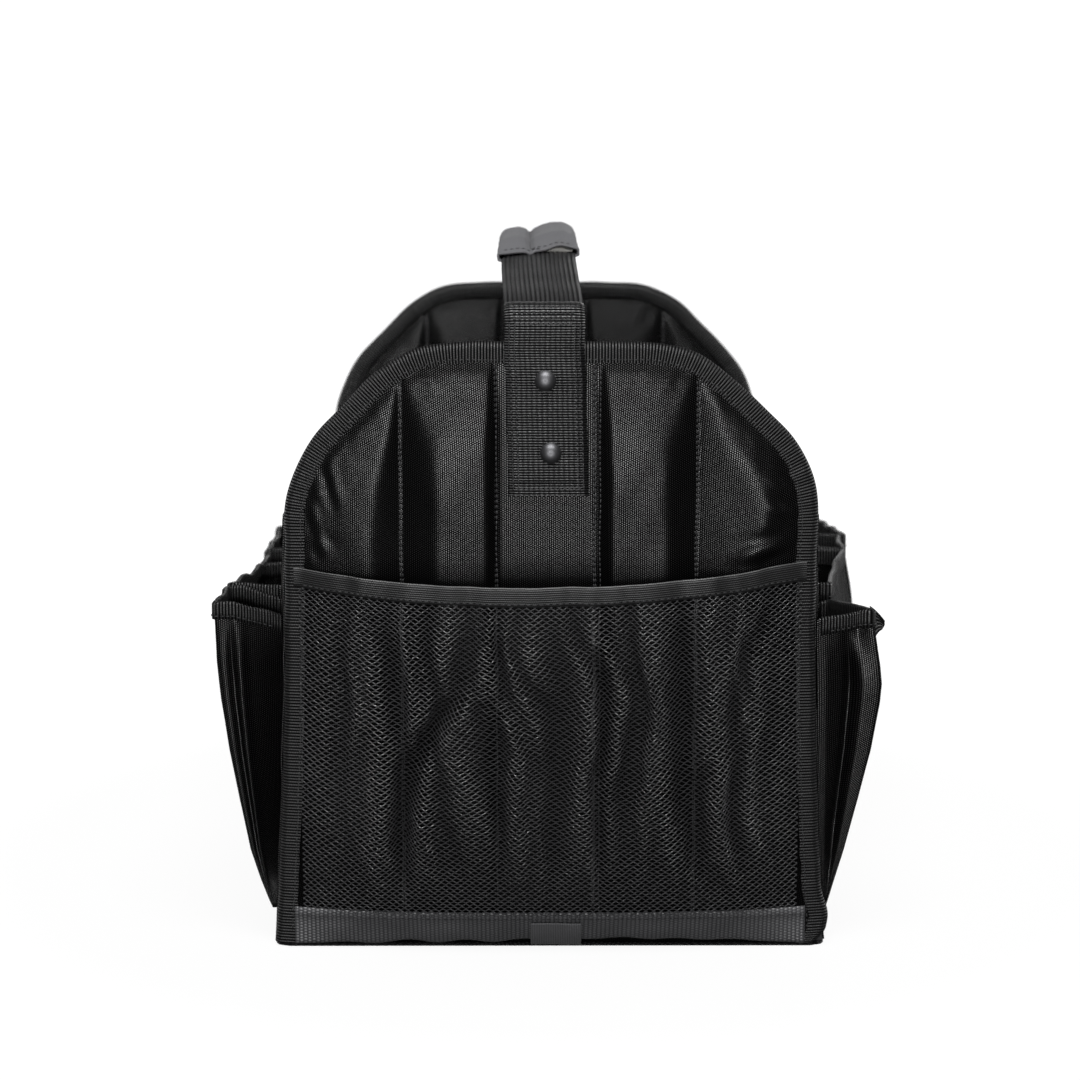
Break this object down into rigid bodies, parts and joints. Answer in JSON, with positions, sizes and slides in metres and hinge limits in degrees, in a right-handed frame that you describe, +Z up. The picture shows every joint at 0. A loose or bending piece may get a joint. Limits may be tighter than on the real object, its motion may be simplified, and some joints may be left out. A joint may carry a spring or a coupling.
{
  "type": "garden tool bag",
  "caption": "Open-top cloth tool bag with arched ends, flared side pockets, net end pockets and a padded webbing handle.",
  "frame": {"origin": "on the ground, at the middle of the base", "axes": "+Z up, X across the bag, Y along it; the front end panel faces -Y"},
  "size_m": [0.343, 0.4072, 0.3613],
  "materials": {
    "shell_cloth": "black coated woven polyester with a soft sheen",
    "coarse_cloth": "black coarse basket-woven polyester, matt",
    "binding_tape": "black ribbed tape",
    "elastic_tape": "black flat elastic with fine ribs",
    "tab_tape": "dark grey ribbed tape",
    "netting": "black knitted net",
    "webbing": "black heavy webbing",
    "grip_cloth": "dark grey smooth cloth",
    "foam": "pale soft padding",
    "rivet_metal": "black, half gloss",
    "stiffener_board": "plain sheet"
  },
  "bodies": {
    "bag_body": {"front_face_cloth": "shell_cloth", "front_lining": "shell_cloth", "front_stiffener_board": "stiffener_board", "front_edge_binding": "binding_tape", "front_net_foot_band": "coarse_cloth", "front_base_tab": "tab_tape", "front_strap": "webbing", "front_rivets": "rivet_metal", "front_rivet_washers": "rivet_metal", "back_face_cloth": "shell_cloth", "back_lining": "shell_cloth", "back_stiffener_board": "stiffener_board", "back_edge_binding": "binding_tape", "back_net_foot_band": "coarse_cloth", "back_base_tab": "tab_tape", "back_strap": "webbing", "back_rivets": "rivet_metal", "back_rivet_washers": "rivet_metal", "left_wall": "shell_cloth", "left_wall_lining": "shell_cloth", "left_wall_board": "stiffener_board", "left_wall_binding": "binding_tape", "right_wall": "shell_cloth", "right_wall_lining": "shell_cloth", "right_wall_board": "stiffener_board", "right_wall_binding": "binding_tape", "bottom_cover": "coarse_cloth", "base_board": "stiffener_board", "floor_lining": "shell_cloth"},
    "handle": {"handle_webbing": "webbing", "grip_sleeve": "grip_cloth", "grip_foam": "foam"},
    "front_net_pocket": {"front_net": "netting", "front_net_rim": "elastic_tape"},
    "back_net_pocket": {"back_net": "netting", "back_net_rim": "elastic_tape"},
    "left_pocket_1_body": {"left_pocket_1": "shell_cloth", "left_pocket_1_rim": "binding_tape"},
    "left_pocket_2_body": {"left_pocket_2": "shell_cloth", "left_pocket_2_rim": "binding_tape"},
    "left_pocket_3_body": {"left_pocket_3": "shell_cloth", "left_pocket_3_rim": "binding_tape"},
    "left_pocket_4_body": {"left_pocket_4": "shell_cloth", "left_pocket_4_rim": "binding_tape"},
    "left_pocket_5_body": {"left_pocket_5": "shell_cloth", "left_pocket_5_rim": "binding_tape"},
    "right_pocket_1_body": {"right_pocket_1": "shell_cloth", "right_pocket_1_rim": "binding_tape"},
    "right_pocket_2_body": {"right_pocket_2": "shell_cloth", "right_pocket_2_rim": "binding_tape"},
    "right_pocket_3_body": {"right_pocket_3": "shell_cloth", "right_pocket_3_rim": "binding_tape"},
    "right_pocket_4_body": {"right_pocket_4": "shell_cloth", "right_pocket_4_rim": "binding_tape"},
    "right_pocket_5_body": {"right_pocket_5": "shell_cloth", "right_pocket_5_rim": "binding_tape"}
  },
  "joints": [
    {"name": "handle_lean", "type": "hinge", "parent": "bag_body", "child": "handle", "pos_m": [0, 0, 0.3316], "axis": [0, 1, 0], "range_deg": [-60, 60], "stiffness_Nm_per_rad": 0.3},
    {"name": "front_net_pocket_open", "type": "hinge", "parent": "bag_body", "child": "front_net_pocket", "pos_m": [0, -0.196, 0.0215], "axis": [1, 0, 0], "range_deg": [0, 8], "stiffness_Nm_per_rad": 0.3},
    {"name": "back_net_pocket_open", "type": "hinge", "parent": "bag_body", "child": "back_net_pocket", "pos_m": [0, 0.196, 0.0215], "axis": [-1, 0, 0], "range_deg": [0, 8], "stiffness_Nm_per_rad": 0.3},
    {"name": "left_pocket_1_flare", "type": "hinge", "parent": "bag_body", "child": "left_pocket_1_body", "pos_m": [-0.1418, 0, 0.024], "axis": [0, -1, 0], "range_deg": [-1.5, 10], "stiffness_Nm_per_rad": 0.3},
    {"name": "left_pocket_2_flare", "type": "hinge", "parent": "bag_body", "child": "left_pocket_2_body", "pos_m": [-0.1418, 0, 0.024], "axis": [0, -1, 0], "range_deg": [-1.5, 10], "stiffness_Nm_per_rad": 0.3},
    {"name": "left_pocket_3_flare", "type": "hinge", "parent": "bag_body", "child": "left_pocket_3_body", "pos_m": [-0.1418, 0, 0.024], "axis": [0, -1, 0], "range_deg": [-1.5, 10], "stiffness_Nm_per_rad": 0.3},
    {"name": "left_pocket_4_flare", "type": "hinge", "parent": "bag_body", "child": "left_pocket_4_body", "pos_m": [-0.1418, 0, 0.024], "axis": [0, -1, 0], "range_deg": [-1.5, 10], "stiffness_Nm_per_rad": 0.3},
    {"name": "left_pocket_5_flare", "type": "hinge", "parent": "bag_body", "child": "left_pocket_5_body", "pos_m": [-0.1418, 0, 0.024], "axis": [0, -1, 0], "range_deg": [-1.5, 10], "stiffness_Nm_per_rad": 0.3},
    {"name": "right_pocket_1_flare", "type": "hinge", "parent": "bag_body", "child": "right_pocket_1_body", "pos_m": [0.1418, 0, 0.024], "axis": [0, 1, 0], "range_deg": [-1.5, 10], "stiffness_Nm_per_rad": 0.3},
    {"name": "right_pocket_2_flare", "type": "hinge", "parent": "bag_body", "child": "right_pocket_2_body", "pos_m": [0.1418, 0, 0.024], "axis": [0, 1, 0], "range_deg": [-1.5, 10], "stiffness_Nm_per_rad": 0.3},
    {"name": "right_pocket_3_flare", "type": "hinge", "parent": "bag_body", "child": "right_pocket_3_body", "pos_m": [0.1418, 0, 0.024], "axis": [0, 1, 0], "range_deg": [-1.5, 10], "stiffness_Nm_per_rad": 0.3},
    {"name": "right_pocket_4_flare", "type": "hinge", "parent": "bag_body", "child": "right_pocket_4_body", "pos_m": [0.1418, 0, 0.024], "axis": [0, 1, 0], "range_deg": [-1.5, 10], "stiffness_Nm_per_rad": 0.3},
    {"name": "right_pocket_5_flare", "type": "hinge", "parent": "bag_body", "child": "right_pocket_5_body", "pos_m": [0.1418, 0, 0.024], "axis": [0, 1, 0], "range_deg": [-1.5, 10], "stiffness_Nm_per_rad": 0.3}
  ]
}
